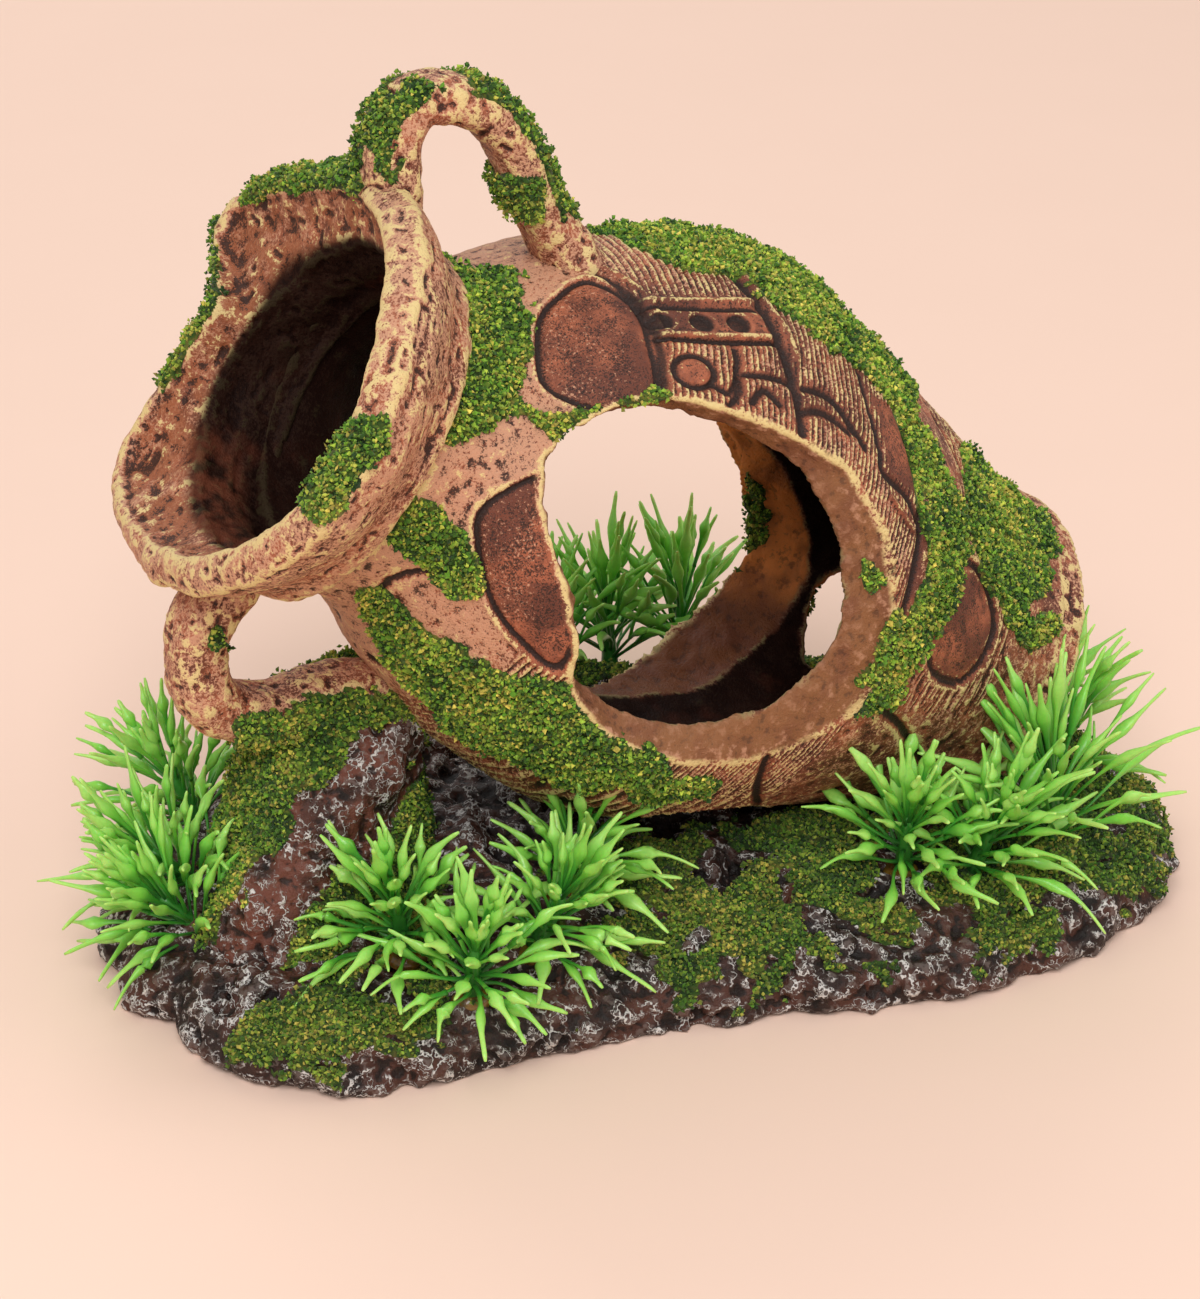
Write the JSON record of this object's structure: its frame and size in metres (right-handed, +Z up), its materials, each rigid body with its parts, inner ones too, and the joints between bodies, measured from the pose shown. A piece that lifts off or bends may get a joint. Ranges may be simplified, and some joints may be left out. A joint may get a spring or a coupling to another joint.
{
  "type": "amphora cave ornament",
  "caption": "Broken hollow jar lying on a rock plinth, with handles, a wide mouth and wall openings fish swim through, moss patches and soft plastic plants.",
  "frame": {"origin": "on the plinth's flat underside, under the middle of the jar", "axes": "+Z up; +X along the plinth towards the jar's foot, so the mouth is at -X; -Y is the viewed side with the large window"},
  "size_m": [0.2196, 0.153, 0.1681],
  "materials": {
    "painted_jar_resin": "cast resin painted terracotta, dark wash in the hollows, cream dry brush on the edges",
    "painted_rock_resin": "rough cast resin painted dark red-brown with pale grey veins",
    "moss_flock": "glued flock crumbs in mixed greens",
    "plant_plastic": "soft moulded plastic, dark stems to yellow-green tips",
    "hot_glue": "set translucent amber glue"
  },
  "bodies": {
    "root": {"foot_ring": "painted_jar_resin", "glue_front": "hot_glue", "glue_left": "hot_glue", "glue_rear": "hot_glue", "glue_right": "hot_glue", "jar_shell": "painted_jar_resin", "lower_handle": "painted_jar_resin", "moss_ankle": "moss_flock", "moss_back": "moss_flock", "moss_belly": "moss_flock", "moss_flank": "moss_flock", "moss_handle_front": "moss_flock", "moss_handle_top": "moss_flock", "moss_neck_side": "moss_flock", "moss_outcrop_side": "moss_flock", "moss_outcrop_top": "moss_flock", "moss_plinth_left": "moss_flock", "moss_plinth_middle": "moss_flock", "moss_plinth_rear": "moss_flock", "moss_plinth_right": "moss_flock", "moss_rim_side": "moss_flock", "moss_rim_top": "moss_flock", "moss_shoulder": "moss_flock", "rim_collar": "painted_jar_resin", "rock_outcrop": "painted_rock_resin", "rock_plinth": "painted_rock_resin", "sprig_front_1": "plant_plastic", "sprig_front_2": "plant_plastic", "sprig_front_3": "plant_plastic", "sprig_front_4": "plant_plastic", "sprig_left_1": "plant_plastic", "sprig_left_2": "plant_plastic", "sprig_left_3": "plant_plastic", "sprig_rear_1": "plant_plastic", "sprig_rear_2": "plant_plastic", "sprig_rear_3": "plant_plastic", "sprig_right_1": "plant_plastic", "sprig_right_2": "plant_plastic", "sprig_right_3": "plant_plastic", "sprig_right_4": "plant_plastic", "sprig_right_5": "plant_plastic", "upper_handle": "painted_jar_resin"}
  },
  "joints": []
}
